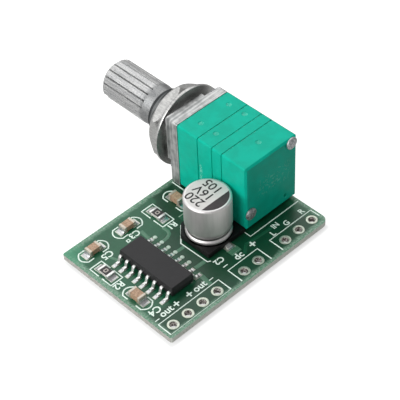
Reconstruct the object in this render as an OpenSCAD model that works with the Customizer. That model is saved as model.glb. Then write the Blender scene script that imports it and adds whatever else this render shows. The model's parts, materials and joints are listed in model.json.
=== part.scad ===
// Small stereo audio amplifier board with a switched volume potentiometer, in millimetres.
// X runs along the row of wire holes, +Y points out along the volume shaft and +Z is up.
// The origin is under the middle of the whole part, on the plane of the pin tips.
// Places on the board are measured from its corner by the first wire hole, at its top face.

/* [Board] */
// Length of the board along the row of wire holes
board_w = 28.46; // [28:0.01:32]
// Depth of the board, from the wire holes to the potentiometer
board_l = 20.5; // [20.2:0.1:23]
// Thickness of the board
board_t = 0.8; // [0.6:0.1:2]
// Radius of the two corners beside the potentiometer
board_right_r = 1; // [0.3:0.1:1.2]
// Radius of the other two corners
board_left_r = 0.3; // [0.1:0.1:0.8]
// Thickness of the copper and tin on the faces of the board
land_t = 0.05; // [0.03:0.01:0.1]

/* [Wire holes] */
// Distance between the wire holes of one group
wire_pitch = 2.54; // [2.2:0.01:2.7]
// Clear diameter of a wire hole
wire_hole_d = 1; // [0.8:0.05:1.2]
// Diameter of the tinned ring round a wire hole
wire_ring_d = 1.6; // [1.45:0.05:1.9]
// Thickness of the tinned barrel in a wire hole
plating_t = 0.16; // [0.16:0.01:0.2]
// Distance of the row of wire holes from the edge of the board
wire_row_y = 1.51; // [1.2:0.01:2]
// Place of the first of the four output holes
output_x = 1.77; // [1.3:0.01:2.2]
// Place of the first of the two power holes
power_x = 14.21; // [13.4:0.01:14.8]
// Place of the first of the three input holes
input_x = 21.76; // [20.4:0.01:21.9]

/* [Amplifier chip] */
// Place of the chip's middle along the wire holes
chip_x = 6.5; // [6.2:0.01:7.2]
// Place of the chip's middle across the board
chip_y = 9.56; // [9:0.01:10]
// Length of the moulded body
chip_l = 9.8; // [9.6:0.05:10.2]
// Width of the moulded body
chip_w = 3.8; // [3.6:0.05:4]
// Height of the moulded body
chip_h = 1.5; // [1.3:0.05:1.7]
// Gap between the body and the board
chip_standoff = 0.2; // [0.1:0.05:0.25]
// Draft of the body's sides, in degrees
chip_draft = 9; // [3:1:12]
// Distance between leads
lead_pitch = 1.28; // [1.15:0.01:1.3]
// Leads on each side
leads_per_side = 8; // [6:1:8]
// Distance between the tips of the feet on both sides
lead_span = 5.8; // [5.75:0.05:6.4]
// Width of a lead
lead_w = 0.42; // [0.35:0.01:0.5]
// Thickness of a lead
lead_t = 0.2; // [0.15:0.01:0.22]
// Radius of a lead's bends, at the middle of its thickness
lead_bend_r = 0.24; // [0.2:0.01:0.26]

/* [Electrolytic capacitor] */
// Place of the can's axis across the board
can_y = 9.55; // [9.2:0.01:9.9]
// Diameter of the can
can_d = 6.4; // [5.8:0.05:6.45]
// Height of the can's top above the board
can_top = 6.9; // [5.5:0.1:9]
// Radius of the can's top rim
can_rim_r = 0.25; // [0.2:0.05:0.6]
// Height of the crimp groove's middle above the board
can_groove_z = 1.55; // [1.4:0.05:2]
// Depth of the crimp groove
can_groove_depth = 0.28; // [0.15:0.01:0.4]
// Side of the square base
can_base_w = 6.7; // [6.65:0.05:6.9]
// Gap between the base and the potentiometer
can_pot_gap = 0.05; // [0.02:0.01:0.3]
// Height of the base's corners above the board
can_base_h = 1.05; // [0.9:0.05:1.2]
// Cut on the two corners of the positive side
can_base_cut = 1.5; // [1:0.05:2.2]
// Width of a terminal tab
can_tab_w = 0.8; // [0.5:0.05:1]
// Length of a terminal tab beyond the base
can_tab_out = 0.4; // [0.2:0.05:0.7]

/* [Chip resistors and ceramic capacitors] */
// Length of the larger chips
big_chip_l = 2; // [1.9:0.05:2.2]
// Width of the larger chips
big_chip_w = 1.25; // [1.1:0.05:1.3]
// Length of the smaller chips
small_chip_l = 1.9; // [1.5:0.05:2.1]
// Width of the smaller chips
small_chip_w = 1.2; // [0.7:0.05:1.3]
// Height of the resistors
resistor_h = 0.5; // [0.4:0.05:0.6]
// Height of the larger capacitors
big_capacitor_h = 1; // [0.8:0.05:1.2]
// Height of the smaller capacitors
small_capacitor_h = 0.85; // [0.7:0.05:1]
// Length of a tinned end
chip_end_l = 0.35; // [0.2:0.05:0.5]
// Thickness of a tinned end
chip_end_t = 0.04; // [0.03:0.01:0.06]

/* [Potentiometer stack] */
// Distance of the shaft's axis from the side edge of the board
pot_inset = 4.5; // [4.3:0.01:4.8]
// Height of the shaft's axis above the board
axis_z = 6.33; // [6.3:0.01:6.6]
// Width of the stack
pot_w = 9.45; // [9.3:0.05:9.7]
// Height of the stack above the board
pot_h = 11.05; // [11:0.05:11.4]
// Distance of the front plate behind the edge of the board
pot_setback = 0.29; // [0:0.01:0.5]
// Gap between the green mouldings and the board
pot_lift = 0.4; // [0.1:0.05:0.6]
// Thickness of the die-cast front plate
plate_t = 1.64; // [1.5:0.01:2]
// Thickness of the raised pad on the front plate
pad_t = 0.58; // [0.3:0.01:0.7]
// Depth of the front housing
front_t = 3.74; // [3.7:0.01:4.2]
// Depth of the middle housing
gang_t = 2.63; // [2.5:0.01:2.9]
// Depth of the rear wafer
wafer_t = 1.75; // [1.4:0.01:2]
// Depth of the switch housing
switch_t = 4.42; // [4.2:0.01:4.6]
// Radius of the stack's long edges
pot_edge_r = 0.3; // [0.15:0.05:0.5]
// Diameter of the round hollow in the housings
hollow_d = 8.4; // [8.2:0.05:8.5]
// Diameter of a rivet
rivet_d = 1; // [0.8:0.05:1.1]
// Diameter of a rivet's head
rivet_head_d = 1.8; // [1.5:0.05:1.9]

/* [Shaft, bushing and nut] */
// Diameter of the knurled shaft
shaft_d = 6; // [5.8:0.05:6.1]
// Length of the shaft in front of the plate
shaft_l = 15.7; // [13:0.1:20]
// Teeth of the knurl
knurl_teeth = 18; // [16:2:20]
// Width of a groove of the knurl, as an angle
knurl_groove_angle = 5; // [4:0.5:8]
// Depth of a groove of the knurl
knurl_depth = 0.24; // [0.15:0.01:0.3]
// Length of the smooth collar behind the knurl
collar_l = 1.35; // [0.6:0.05:2]
// Diameter of the smooth collar at the bushing, from where it widens to the knurl
collar_d = 5.68; // [5.4:0.01:5.68]
// Width of the slot in the shaft's end
slot_w = 0.9; // [0.75:0.05:1.2]
// Depth of the slot in the shaft's end
slot_l = 6.2; // [4:0.1:7]
// Tooth of the knurl that the slot cuts away, counted up from the board's plane
slot_tooth = 1; // [0:1:7]
// Diameter of the shaft inside the bushing
journal_d = 5; // [4.8:0.05:5.2]
// Running clearance round the journal
journal_clear = 0.05; // [0.02:0.01:0.08]
// Outside diameter of the bushing's thread
bushing_d = 7; // [6.8:0.05:7.2]
// Length of the bushing in front of the plate
bushing_l = 6; // [5:0.05:7]
// Diameter of the bushing's smooth nose
nose_d = 6.4; // [6.35:0.05:6.6]
// Length of the bushing's smooth nose
nose_l = 1.85; // [1:0.05:2]
// Pitch of the bushing's thread
thread_pitch = 0.75; // [0.5:0.05:1]
// Diameter of the plate's round boss
boss_d = 8.6; // [8:0.1:9]
// Height of the plate's round boss
boss_t = 1.1; // [0.8:0.05:1.3]
// Outside diameter of the washer
washer_d = 12; // [11:0.1:12.4]
// Thickness of the washer
washer_t = 0.5; // [0.3:0.05:0.8]
// Width of the nut across its flats
nut_af = 10; // [9.5:0.1:10.3]
// Thickness of the nut
nut_t = 2.2; // [1.6:0.1:2.5]
// Clearance of the nut and the washer round the thread
nut_clear = 0.05; // [0.02:0.01:0.1]

/* [Inside the potentiometer] */
// Diameter of the shaft's drive section
drive_d = 4; // [3.8:0.05:4.2]
// Width of the drive section across its two flats
drive_flat = 3; // [2.6:0.05:3.2]
// Clearance of the drive section in the rotors and the cam
drive_clear = 0.02; // [0.01:0.01:0.04]
// Diameter of the rotors
rotor_d = 7.8; // [7.6:0.05:7.9]
// Turn of the shaft between its stops, in degrees
shaft_turn = 300; // [280:5:300]
// Half of the stop lug's width on the rotor, in degrees
lug_half = 12; // [10:1:13]
// Room left between the lug and the stop at each end of the turn, in degrees
stop_play = 1; // [0.5:0.5:2]
// Distance between the pins of a gang
pin_pitch = 2.5; // [2.4:0.05:2.6]
// Distance of the switch pins from the axis
switch_pin_x = 2.2; // [2.1:0.05:2.3]
// Width of a pin
pin_w = 0.7; // [0.6:0.05:0.75]
// Thickness of a pin
pin_t = 0.3; // [0.25:0.05:0.4]
// Length of a pin below the board
pin_tail = 0.7; // [0.5:0.05:0.8]
// Diameter of the board's holes for the pins
pin_hole_d = 1; // [0.9:0.05:1.1]

/* [Hidden] */
$fn = 64;

// Small amount by which a cutting shape reaches past a face
past = 0.1;

// Places of the potentiometer's layers along the shaft
pot_x = board_w - pot_inset;
plate_front_y = board_l - pot_setback;
plate_rear_y = plate_front_y - plate_t;
front_y = plate_rear_y - front_t;
gang_y = front_y - gang_t;
wafer_y = gang_y - wafer_t;
switch_y = wafer_y - switch_t;
bushing_end_y = plate_front_y + bushing_l;
washer_y = plate_front_y + boss_t;
nut_y = washer_y + washer_t;
shaft_tip_y = plate_front_y + shaft_l;

// Middle of the whole part, and the height of the board's top above the pin tips
part_right = max(board_w, pot_x + washer_d / 2, pot_x + pot_w / 2);
middle_x = part_right / 2;
middle_y = shaft_tip_y / 2;
board_top_z = board_t + pin_tail;

// Where every wire hole is
wire_holes = concat(
    [for (i = [0:3]) output_x + i * wire_pitch],
    [for (i = [0:1]) power_x + i * wire_pitch],
    [for (i = [0:2]) input_x + i * wire_pitch]
);
wire_barrel_d = wire_hole_d + 2 * plating_t;

// Small chips: the middle of each on the board, and its angle
r1_place = [13.38, 16.74, 90];
r2_place = [1.73, 13.87, 90];
c1_pot_gap = 2.19;
c1_place = [pot_x - pot_w / 2 - c1_pot_gap, 16.86, 90];
c3_place = [9.08, 17.95, 0];
c4_place = [1.68, 7.88, 90];
c5_place = [3.15, 17.96, 0];
chip_land = [1.25, 1.3];
chip_land_gap = 0.9;

// Chip body: a straight band at half height, where the leads come out
chip_bottom_z = chip_standoff + land_t;
chip_band_h = lead_t + 0.06;
chip_band_z = chip_bottom_z + (chip_h - chip_band_h) / 2;
lead_z = chip_band_z + chip_band_h / 2;
lead_foot_z = land_t + lead_t / 2;
lead_out = (lead_span - chip_w) / 2;
lead_shoulder = 0.1;
lead_turn = 75;
lead_land = [1.3, 0.6];

// Electrolytic capacitor: place beside the potentiometer, tabs, base and the can's seat
can_x = pot_x - pot_w / 2 - can_pot_gap - can_base_w / 2;
can_tab_t = 0.25;
can_tab_in = 0.5;
can_base_z = 0.08;
can_seat_z = 0.75;
can_seat_clear = 0.05;
can_groove_r = 0.3;
can_land = [1.5, 3.2];
can_land_out = 5;

// Walls of the potentiometer's housings, and the step at each seam
gang_wall = 0.9;
switch_wall = 0.8;
seam_gap = 0.16;
seam_depth = 0.1;
rear_bevel = 0.25;
plate_bevel = 0.2;
through_d = drive_d + 0.6;
rivet_places = [[3.55, 4.05], [-4, -3.3]];
rivet_head_t = 0.3;
rivet_flare_d = 1.6;
rivet_flare_t = 0.35;
pad_right = 2;
pad_bottom = -2.45;
rear_dimple = [2.58, -4.7];
rear_dimple_d = 0.6;
rear_dimple_depth = 0.35;
top_mark_d = 0.8;
top_mark_depth = 0.06;

// Shaft: chamfer at its end, retaining groove and the recess for the ring
shaft_chamfer = 0.4;
journal_end_gap = 0.1;
journal_tail = 0.5;
ring_t = 0.4;
ring_d = 6.6;
ring_play = 0.1;
ring_groove_d = 4.1;
ring_mouth = 2.8;
recess_d = 7.3;
recess_depth = 0.7;
ring_y = plate_rear_y + recess_depth - ring_play - ring_t;
journal_rear_y = ring_y - journal_tail;

// Thread form of the bushing, as rings a pitch apart
thread_depth = 0.28;
thread_chamfer = 0.35;
nose_chamfer = 0.15;

// Tracks, wipers and rotors
track_t = 0.05;
wiper_gap = 0.1;
wiper_t = 0.15;
wiper_rise = 0.3;
wiper_arm_w = 1.2;
contact_d = 0.5;
rotor_lift = track_t + wiper_gap + wiper_rise + wiper_t;
rotor_clear = 0.2;
front_rotor_y = front_y + rotor_lift;
front_disc_t = 1.4;
front_hub_d = 5.6;
hub_gap = 0.15;
lug_t = 1;
rear_rotor_y = gang_y + rotor_lift;
rear_disc_t = gang_t - gang_wall - rotor_lift - rotor_clear;
collector_edge = 0.15;
collector_in_r = through_d / 2 + collector_edge;
collector_w = 0.35;
collector_out_r = collector_in_r + collector_w;
arc_gap = 0.4;
arc_w = 0.55;
arc_in_r = collector_out_r + arc_gap;
arc_out_r = arc_in_r + arc_w;
track_half_gap = 25;
stop_half = (360 - shaft_turn) / 2 - lug_half - stop_play;
stop_depth = 1;
stop_angle = 270;
lug_angle = stop_angle + stop_half + stop_play + lug_half;

// On/off switch: cam, leaf spring and contact
cam_r = 2.45;
cam_lobe_r = 2.8;
cam_lobe_half = 14;
cam_y = switch_y + switch_wall + 0.65;
cam_t = 2;
leaf_gap = 0.15;
leaf_t = 0.15;
leaf_w = 1.6;
leaf_end_gap = 0.1;
leaf_top_z = -cam_lobe_r - leaf_gap;
contact_gap = 0.35;
contact_t = 0.15;
contact_reach = 0.25;
switch_pin_y = cam_y + (cam_t - pin_t) / 2;
drive_end_y = cam_y - 0.2;

// Solder cones under the board
solder_d = 1.7;
solder_tip_d = 1;
solder_h = 0.5;

// All pins of the potentiometer: [place sideways from the axis, place along the shaft]
front_pins = [for (i = [-1:1]) [i * pin_pitch, front_y - pin_t]];
rear_pins = [for (i = [-1:1]) [i * pin_pitch, gang_y - pin_t]];
switch_pins = [for (side = [-1, 1]) [side * switch_pin_x, switch_pin_y]];
pot_pins = concat(front_pins, rear_pins, switch_pins);

// Points of an arc round c, from angle a0 to a1
function arc(c, r, a0, a1, steps = 5) =
    [for (i = [0:steps]) let (a = a0 + (a1 - a0) * i / steps) c + r * [cos(a), sin(a)]];

// Moves a shape from the board's corner to the part's own frame
module on_board() {
    translate([-middle_x, -middle_y, board_top_z]) children();
}

// Stands a flat section, drawn round the shaft's axis, along the shaft from y
module along_shaft(y, t) {
    on_board() translate([pot_x, y + t, axis_z]) rotate([90, 0, 0]) linear_extrude(t) children();
}

// Turns a profile, drawn as [radius, distance from y], round the shaft's axis
module turned_on_shaft(y) {
    on_board() translate([pot_x, y, axis_z]) rotate([-90, 0, 0]) rotate_extrude() children();
}

module rounded_rect(w, h, r) {
    translate([r, 0]) square([w - 2 * r, h]);
    translate([0, r]) square([w, h - 2 * r]);
    for (x = [r, w - r], y = [r, h - r]) translate([x, y]) circle(r);
}

module ring_section(outer_r, inner_r) {
    difference() {
        circle(outer_r);
        circle(inner_r);
    }
}

// Wedge of a disc between two angles less than 180 degrees apart
module sector(r, a0, a1) {
    middle = (a0 + a1) / 2;
    reach = r / cos((a1 - a0) / 4);
    polygon([
        [0, 0], reach * [cos(a0), sin(a0)], reach * [cos(middle), sin(middle)],
        reach * [cos(a1), sin(a1)]
    ]);
}

// Board and what is etched on it

module board_corner_cut(r) {
    difference() {
        translate([-past, -past]) square(r + past);
        translate([r, r]) circle(r);
    }
}

module board_outline() {
    difference() {
        square([board_w, board_l]);
        board_corner_cut(board_left_r);
        translate([0, board_l]) rotate(-90) board_corner_cut(board_left_r);
        translate([board_w, 0]) rotate(90) board_corner_cut(board_right_r);
        translate([board_w, board_l]) rotate(180) board_corner_cut(board_right_r);
    }
}

module circuit_board() {
    color("darkgreen") on_board() translate([0, 0, -board_t]) linear_extrude(board_t) difference() {
        board_outline();
        for (x = wire_holes) translate([x, wire_row_y]) circle(d = wire_barrel_d);
        for (pin = pot_pins) translate([pot_x + pin[0], pin[1] + pin_t / 2]) circle(d = pin_hole_d);
    }
}

// One plated hole: a barrel with a ring on each face of the board
module wire_eyelet() {
    rotate_extrude() polygon([
        [wire_hole_d / 2, -board_t - land_t], [wire_ring_d / 2, -board_t - land_t],
        [wire_ring_d / 2, -board_t], [wire_barrel_d / 2, -board_t], [wire_barrel_d / 2, 0],
        [wire_ring_d / 2, 0], [wire_ring_d / 2, land_t], [wire_hole_d / 2, land_t]
    ]);
}

module wire_eyelets() {
    color("silver") on_board() for (x = wire_holes) translate([x, wire_row_y, 0]) wire_eyelet();
}

module land(size) {
    linear_extrude(land_t) square(size, center = true);
}

module at_place(place) {
    translate([place[0], place[1], 0]) rotate(place[2]) children();
}

// Runs its child at every foot of the chip, turned so that +X points away from the body
module at_leads() {
    for (side = [0, 180], i = [0:leads_per_side - 1])
        translate([chip_x, chip_y + (i - (leads_per_side - 1) / 2) * lead_pitch, 0])
            rotate(side) translate([chip_w / 2, 0, 0]) children();
}

module solder_lands() {
    color("lightgray") on_board() {
        for (place = [r1_place, r2_place, c1_place, c3_place, c4_place, c5_place], side = [-1, 1])
            at_place(place) translate([side * (chip_land_gap + chip_land[0]) / 2, 0, 0]) land(chip_land);
        at_leads() translate([lead_out, 0, 0]) land(lead_land);
        for (side = [-1, 1])
            translate([can_x, can_y + side * (can_land_out - can_land[1] / 2), 0]) land(can_land);
    }
}

// Amplifier chip

// Side view of the body over a width: straight at the leads' band, drafted above and below it
module chip_side(w) {
    half_h = (chip_h - chip_band_h) / 2;
    narrow = w / 2 - half_h * tan(chip_draft);
    polygon([
        [-narrow, -half_h], [narrow, -half_h], [w / 2, 0], [w / 2, chip_band_h],
        [narrow, chip_band_h + half_h], [-narrow, chip_band_h + half_h],
        [-w / 2, chip_band_h], [-w / 2, 0]
    ]);
}

module chip_body() {
    color("dimgray") on_board() translate([chip_x, chip_y, chip_band_z]) intersection() {
        rotate([90, 0, 0]) linear_extrude(chip_l, center = true) chip_side(chip_w);
        rotate([90, 0, 90]) linear_extrude(chip_w, center = true) chip_side(chip_l);
    }
}

// Side view of a gull-wing lead: a shoulder, a bend down, a steep leg, a bend out and a foot
module lead_profile() {
    lean = 90 - lead_turn;
    drop = lead_z - lead_foot_z - 2 * lead_bend_r * (1 - sin(lean));
    upper = [lead_shoulder, lead_z - lead_bend_r];
    lower = [
        lead_shoulder + 2 * lead_bend_r * cos(lean) + drop / tan(lead_turn),
        lead_foot_z + lead_bend_r
    ];
    half = lead_t / 2;
    polygon(concat(
        [[0, lead_z + half]],
        arc(upper, lead_bend_r + half, 90, lean),
        arc(lower, lead_bend_r - half, 180 + lean, 270),
        [[lead_out, lead_foot_z + half], [lead_out, lead_foot_z - half]],
        arc(lower, lead_bend_r + half, 270, 180 + lean),
        arc(upper, lead_bend_r - half, lean, 90),
        [[0, lead_z - half]]
    ));
}

module chip_leads() {
    color("gainsboro") on_board() at_leads()
        translate([0, lead_w / 2, 0]) rotate([90, 0, 0]) linear_extrude(lead_w) lead_profile();
}

// Electrolytic capacitor

module can_base_outline() {
    half = can_base_w / 2;
    polygon([
        [-half, -half], [half, -half], [half, half - can_base_cut], [half - can_base_cut, half],
        [can_base_cut - half, half], [-half, half - can_base_cut]
    ]);
}

module can_tab(side) {
    length = can_base_w / 2 + can_tab_out - can_tab_in;
    translate([-can_tab_w / 2, side > 0 ? can_tab_in : -can_tab_in - length, land_t])
        cube([can_tab_w, length, can_tab_t]);
}

module can_base() {
    color("black") on_board() translate([can_x, can_y, 0]) difference() {
        translate([0, 0, can_base_z]) linear_extrude(can_base_h - can_base_z) can_base_outline();
        translate([0, 0, can_seat_z]) cylinder(d = can_d + 2 * can_seat_clear, h = can_base_h);
        for (side = [-1, 1]) can_tab(side);
    }
}

// Half section of the can: rolled foot, crimp groove, wall and rounded rim
module can_section() {
    r = can_d / 2;
    roll_r = (can_groove_z - can_groove_r - can_seat_z) / 2;
    polygon(concat(
        [[0, can_seat_z]],
        arc([r - roll_r, can_seat_z + roll_r], roll_r, -90, 45),
        [
            [r - can_groove_depth, can_groove_z - can_groove_r / 3],
            [r - can_groove_depth, can_groove_z + can_groove_r / 3]
        ],
        arc([r - can_groove_r, can_groove_z + 1.6 * can_groove_r], can_groove_r, -45, 0, 3),
        arc([r - can_rim_r, can_top - can_rim_r], can_rim_r, 0, 90),
        [[0, can_top]]
    ));
}

module can_shell() {
    color("silver") on_board() translate([can_x, can_y, 0]) rotate_extrude() can_section();
}

module can_terminals() {
    color("lightgray") on_board() translate([can_x, can_y, 0]) for (side = [-1, 1]) can_tab(side);
}

// Chip resistors and ceramic capacitors

module chip_core(l, w, h) {
    translate([chip_end_t - l / 2, chip_end_t - w / 2, land_t + chip_end_t])
        cube([l - 2 * chip_end_t, w - 2 * chip_end_t, h - 2 * chip_end_t]);
}

module chip_ends(l, w, h) {
    difference() {
        for (side = [0, 1])
            translate([side * (l - chip_end_l) - l / 2, -w / 2, land_t]) cube([chip_end_l, w, h]);
        chip_core(l, w, h);
    }
}

module resistor_coat(place) {
    length = big_chip_l - 2 * chip_end_l;
    width = big_chip_w - 4 * chip_end_t;
    color("black") on_board() at_place(place)
        translate([-length / 2, -width / 2, land_t + resistor_h - chip_end_t])
            cube([length, width, chip_end_t]);
}

module resistor_body(place) {
    color("whitesmoke") on_board() at_place(place) chip_core(big_chip_l, big_chip_w, resistor_h);
}

module resistor_ends(place) {
    color("lightgray") on_board() at_place(place) chip_ends(big_chip_l, big_chip_w, resistor_h);
}

module capacitor_body(place, size) {
    color("rosybrown") on_board() at_place(place) chip_core(size[0], size[1], size[2]);
}

module capacitor_ends(place, size) {
    color("lightgray") on_board() at_place(place) chip_ends(size[0], size[1], size[2]);
}

big_capacitor = [big_chip_l, big_chip_w, big_capacitor_h];
small_capacitor = [small_chip_l, small_chip_w, small_capacitor_h];

module resistor_r1_body() resistor_body(r1_place);
module resistor_r1_coat() resistor_coat(r1_place);
module resistor_r1_ends() resistor_ends(r1_place);
module resistor_r2_body() resistor_body(r2_place);
module resistor_r2_coat() resistor_coat(r2_place);
module resistor_r2_ends() resistor_ends(r2_place);
module capacitor_c1_body() capacitor_body(c1_place, big_capacitor);
module capacitor_c1_ends() capacitor_ends(c1_place, big_capacitor);
module capacitor_c3_body() capacitor_body(c3_place, small_capacitor);
module capacitor_c3_ends() capacitor_ends(c3_place, small_capacitor);
module capacitor_c4_body() capacitor_body(c4_place, big_capacitor);
module capacitor_c4_ends() capacitor_ends(c4_place, big_capacitor);
module capacitor_c5_body() capacitor_body(c5_place, small_capacitor);
module capacitor_c5_ends() capacitor_ends(c5_place, small_capacitor);

// Potentiometer: the stack

module pot_outline(inset = 0, lift = 0) {
    translate([inset - pot_w / 2, inset + lift - axis_z])
        rounded_rect(pot_w - 2 * inset, pot_h - lift - 2 * inset, pot_edge_r);
}

module at_rivets() {
    for (place = rivet_places) translate(place) children();
}

// Countersunk front ends of the rivets, flush with the plate
module rivet_flares() {
    for (place = rivet_places)
        on_board() translate([pot_x + place[0], plate_front_y - rivet_flare_t, axis_z + place[1]])
            rotate([-90, 0, 0]) cylinder(d1 = rivet_d, d2 = rivet_flare_d, h = rivet_flare_t);
}

// Shallow round marks in the top of a moulding, at places sideways from the axis
module top_marks(places, y) {
    on_board() for (x = places)
        translate([pot_x + x, y, pot_h - top_mark_depth]) cylinder(d = top_mark_d, h = 1);
}

// One moulding of the stack, with a fine step at its front end that shows as the seam
module stack_layer(y, t) {
    difference() {
        union() {
            along_shaft(y, t - seam_gap) pot_outline(0, pot_lift);
            along_shaft(y + t - seam_gap, seam_gap) pot_outline(seam_depth, pot_lift);
        }
        along_shaft(y - past, t + 2 * past) at_rivets() circle(d = rivet_d);
    }
}

// Cuts that run from the middle of a layer down and out through its bottom, one for each pin
module pin_cuts(pins, top_z) {
    for (pin = pins)
        along_shaft(pin[1], pin_t) translate([pin[0] - pin_w / 2, -axis_z - past])
            square([pin_w, axis_z + top_z + past]);
}

module pins(list, top_z) {
    for (pin = list)
        along_shaft(pin[1], pin_t) translate([pin[0] - pin_w / 2, -axis_z - board_top_z])
            square([pin_w, axis_z + board_top_z + top_z]);
}

// Boss, threaded bushing and smooth nose as one turned profile, with rings for the thread
module bushing_profile() {
    r = bushing_d / 2;
    nose_r = nose_d / 2;
    nose_y = bushing_l - nose_l;
    bore_r = journal_d / 2 + journal_clear;
    threads = floor((nose_y - boss_t - thread_chamfer) / thread_pitch);
    rings = [
        for (i = [0:threads - 1], corner = [[0, 0], [0.5, -thread_depth]])
            [r + corner[1], boss_t + (i + corner[0]) * thread_pitch]
    ];
    polygon(concat(
        [[bore_r, 0], [boss_d / 2, 0], [boss_d / 2, boss_t]], rings,
        [
            [r, boss_t + threads * thread_pitch], [r, nose_y - thread_chamfer], [nose_r, nose_y],
            [nose_r, bushing_l - nose_chamfer], [nose_r - nose_chamfer, bushing_l], [bore_r, bushing_l]
        ]
    ));
}

module front_plate() {
    color("silver") union() {
        difference() {
            union() {
                along_shaft(plate_rear_y, plate_t - plate_bevel) pot_outline();
                along_shaft(plate_front_y - plate_bevel, plate_bevel) pot_outline(plate_bevel / 2);
                along_shaft(plate_front_y, pad_t) intersection() {
                    pot_outline(plate_bevel / 2);
                    translate([-pot_w, pad_bottom]) square([pot_w + pad_right, pot_h]);
                }
            }
            along_shaft(plate_rear_y - past, plate_t + past) at_rivets() circle(d = rivet_d);
            along_shaft(plate_rear_y - past, plate_t + pad_t + 2 * past) circle(journal_d / 2 + journal_clear);
            rivet_flares();
            along_shaft(plate_rear_y - past, recess_depth + past) circle(d = recess_d);
        }
        turned_on_shaft(plate_front_y) bushing_profile();
    }
}

module front_housing() {
    color("mediumseagreen") {
        difference() {
            stack_layer(front_y, front_t);
            along_shaft(front_y - past, front_t + 2 * past) circle(d = hollow_d);
            top_marks([-2.24, 2.9], front_y + 1.7);
        }
        along_shaft(plate_rear_y - stop_depth, stop_depth) intersection() {
            ring_section(hollow_d / 2 + past, arc_in_r);
            sector(hollow_d, stop_angle - stop_half, stop_angle + stop_half);
        }
    }
}

module middle_housing() {
    color("mediumseagreen") difference() {
        stack_layer(gang_y, gang_t);
        along_shaft(gang_y - past, gang_t - gang_wall + past) circle(d = hollow_d);
        along_shaft(gang_y, gang_t + past) circle(d = through_d);
        pin_cuts(front_pins, -collector_in_r);
        top_marks([-2.3, 2.95], gang_y + 1.5);
    }
}

module rear_wafer() {
    color("mediumseagreen") difference() {
        stack_layer(wafer_y, wafer_t);
        along_shaft(wafer_y - past, wafer_t + 2 * past) circle(d = through_d);
        pin_cuts(rear_pins, -collector_in_r);
    }
}

// Shape that bevels the four edges of the switch housing's rear face
module rear_edge_bevels() {
    side_w = rear_bevel * sqrt(2);
    on_board() translate([pot_x, switch_y, 0]) {
        for (x = [-pot_w / 2, pot_w / 2]) translate([x, 0, pot_h / 2]) rotate([0, 0, 45])
            cube([side_w, side_w, pot_h + 2], center = true);
        for (z = [pot_lift, pot_h]) translate([0, 0, z]) rotate([45, 0, 0])
            cube([pot_w + 2, side_w, side_w], center = true);
    }
}

module switch_housing() {
    color("mediumseagreen") difference() {
        stack_layer(switch_y, switch_t);
        rear_edge_bevels();
        along_shaft(switch_y + switch_wall, switch_t) circle(d = hollow_d);
        along_shaft(switch_y - past, rear_dimple_depth + past)
            translate(rear_dimple) circle(d = rear_dimple_d);
        top_marks([0.26], switch_y + 2.56);
        pin_cuts(switch_pins, 0);
    }
}

module rivets() {
    color("lightgray") {
        along_shaft(switch_y - rivet_head_t, rivet_head_t) at_rivets() circle(d = rivet_head_d);
        along_shaft(switch_y, plate_front_y - rivet_flare_t - switch_y) at_rivets() circle(d = rivet_d);
        rivet_flares();
    }
}

// Potentiometer: what turns

module knurl_section() {
    groove_half = shaft_d / 2 * sin(knurl_groove_angle / 2);
    difference() {
        circle(d = shaft_d);
        for (i = [0:knurl_teeth - 1]) rotate(i * 360 / knurl_teeth) polygon([
            [shaft_d / 2 - knurl_depth, 0], [shaft_d / 2 + past, groove_half * 1.3],
            [shaft_d / 2 + past, -groove_half * 1.3]
        ]);
    }
}

module drive_section(clear = 0) {
    intersection() {
        circle(drive_d / 2 + clear);
        square([drive_flat + 2 * clear, 2 * drive_d], center = true);
    }
}

module shaft_head() {
    knurl_y = bushing_end_y + journal_end_gap + collar_l;
    head_l = shaft_tip_y - knurl_y;
    difference() {
        intersection() {
            along_shaft(knurl_y, head_l) knurl_section();
            turned_on_shaft(knurl_y) polygon([
                [0, 0], [shaft_d / 2, 0], [shaft_d / 2, head_l - shaft_chamfer],
                [shaft_d / 2 - shaft_chamfer, head_l], [0, head_l]
            ]);
        }
        along_shaft(shaft_tip_y - slot_l, slot_l + past) rotate((slot_tooth + 0.5) * 360 / knurl_teeth)
            square([2 * shaft_d, slot_w], center = true);
    }
}

module volume_shaft() {
    collar_y = bushing_end_y + journal_end_gap;
    ring_top_y = ring_y + ring_t;
    color("silver") union() {
        shaft_head();
        turned_on_shaft(collar_y) polygon([
            [0, 0],
            [collar_d / 2, 0],
            [shaft_d / 2, collar_l],
            [0, collar_l]
        ]);
        along_shaft(ring_top_y, collar_y - ring_top_y) circle(d = journal_d);
        along_shaft(ring_y, ring_t) circle(d = ring_groove_d);
        along_shaft(journal_rear_y, journal_tail) circle(d = journal_d);
        along_shaft(drive_end_y, journal_rear_y - drive_end_y) drive_section();
    }
}

module retaining_ring() {
    color("gray") along_shaft(ring_y, ring_t) difference() {
        ring_section(ring_d / 2, ring_groove_d / 2);
        translate([0, -ring_mouth / 2]) square([ring_d, ring_mouth]);
    }
}

module front_rotor() {
    hub_l = journal_rear_y - hub_gap - front_rotor_y;
    color("ivory") {
        along_shaft(front_rotor_y, front_disc_t) difference() {
            circle(d = rotor_d);
            drive_section(drive_clear);
        }
        along_shaft(front_rotor_y + front_disc_t, hub_l - front_disc_t) difference() {
            circle(d = front_hub_d);
            drive_section(drive_clear);
        }
        along_shaft(front_rotor_y + front_disc_t, lug_t) intersection() {
            ring_section(rotor_d / 2, front_hub_d / 2 - past);
            sector(rotor_d, lug_angle - lug_half, lug_angle + lug_half);
        }
    }
}

module rear_rotor() {
    color("ivory") along_shaft(rear_rotor_y, rear_disc_t) difference() {
        circle(d = rotor_d);
        drive_section(drive_clear);
    }
}

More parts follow.
